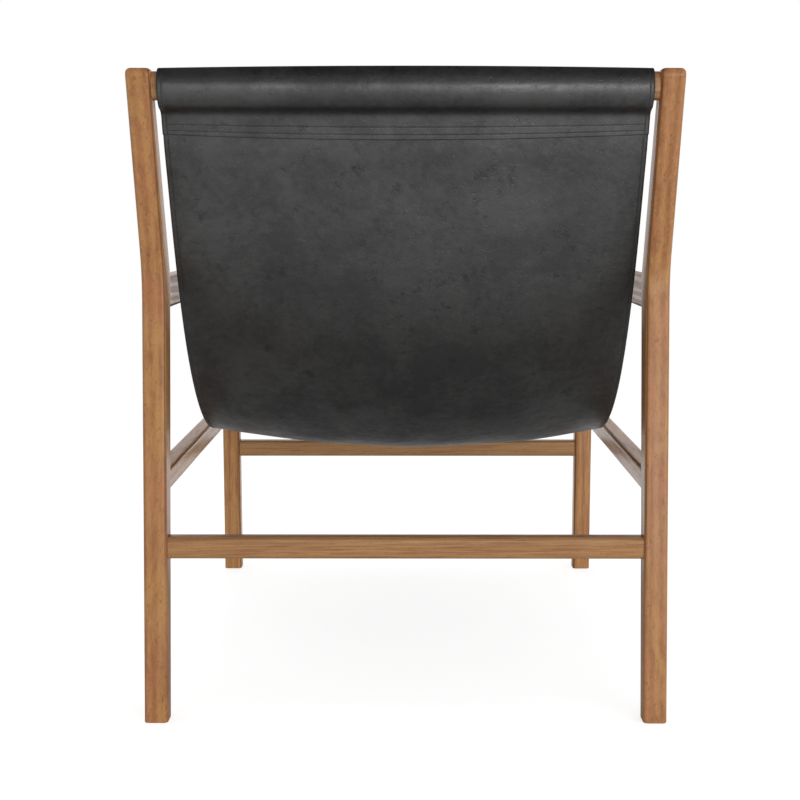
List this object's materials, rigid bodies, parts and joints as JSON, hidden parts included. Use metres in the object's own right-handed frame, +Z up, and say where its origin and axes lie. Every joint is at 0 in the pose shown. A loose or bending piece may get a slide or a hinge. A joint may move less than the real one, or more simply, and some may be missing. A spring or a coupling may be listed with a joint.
{
  "type": "leather sling lounge chair",
  "caption": "Low lounge chair: a black leather sling hangs from two sleeved rails between bent, glued hardwood side frames with slim flat armrests.",
  "frame": {"origin": "on the floor, in the middle of the chair's length and width", "axes": "+Z up; +X to the sitter's left; the sitter faces -Y, so the back of the chair is at +Y"},
  "size_m": [0.65, 0.8166, 0.7993],
  "materials": {
    "oiled_wood": "satin oil on a mid-brown hardwood, with straight grain and small pores",
    "black_leather": "black full-grain leather, smooth with a soft cloudy sheen and dark cut edges",
    "plain_beech": "bare turned beech dowel",
    "dark_steel": "dark bronzed socket-head bolt",
    "zinc_steel": "zinc-plated barrel nut",
    "black_thread": "waxed black polyester thread"
  },
  "bodies": {
    "root": {"rear_leg_left": "oiled_wood", "front_leg_left": "oiled_wood", "armrest_left": "oiled_wood", "side_rail_left": "oiled_wood", "rear_leg_right": "oiled_wood", "front_leg_right": "oiled_wood", "armrest_right": "oiled_wood", "side_rail_right": "oiled_wood", "top_rail": "oiled_wood", "front_seat_rail": "oiled_wood", "rear_stretcher": "oiled_wood", "front_stretcher": "oiled_wood", "leather_sling": "black_leather", "top_rail_dowel_left": "plain_beech", "top_rail_dowel_right": "plain_beech", "front_seat_rail_dowel_left": "plain_beech", "front_seat_rail_dowel_right": "plain_beech", "rear_stretcher_dowel_left": "plain_beech", "rear_stretcher_dowel_right": "plain_beech", "front_stretcher_dowel_left": "plain_beech", "front_stretcher_dowel_right": "plain_beech", "arm_rear_dowel_lower_left": "plain_beech", "side_rail_rear_dowel_lower_left": "plain_beech", "side_rail_front_dowel_lower_left": "plain_beech", "arm_rear_dowel_upper_left": "plain_beech", "side_rail_rear_dowel_upper_left": "plain_beech", "side_rail_front_dowel_upper_left": "plain_beech", "arm_front_dowel_back_left": "plain_beech", "arm_front_dowel_front_left": "plain_beech", "arm_rear_dowel_lower_right": "plain_beech", "side_rail_rear_dowel_lower_right": "plain_beech", "side_rail_front_dowel_lower_right": "plain_beech", "arm_rear_dowel_upper_right": "plain_beech", "side_rail_rear_dowel_upper_right": "plain_beech", "side_rail_front_dowel_upper_right": "plain_beech", "arm_front_dowel_back_right": "plain_beech", "arm_front_dowel_front_right": "plain_beech", "top_rail_bolt_left": "dark_steel", "top_rail_bolt_right": "dark_steel", "front_seat_rail_bolt_left": "dark_steel", "front_seat_rail_bolt_right": "dark_steel", "rear_stretcher_bolt_left": "dark_steel", "rear_stretcher_bolt_right": "dark_steel", "front_stretcher_bolt_left": "dark_steel", "front_stretcher_bolt_right": "dark_steel", "top_rail_barrel_nut_left": "zinc_steel", "top_rail_barrel_nut_right": "zinc_steel", "front_seat_rail_barrel_nut_left": "zinc_steel", "front_seat_rail_barrel_nut_right": "zinc_steel", "rear_stretcher_barrel_nut_left": "zinc_steel", "rear_stretcher_barrel_nut_right": "zinc_steel", "front_stretcher_barrel_nut_left": "zinc_steel", "front_stretcher_barrel_nut_right": "zinc_steel"}
  },
  "joints": []
}
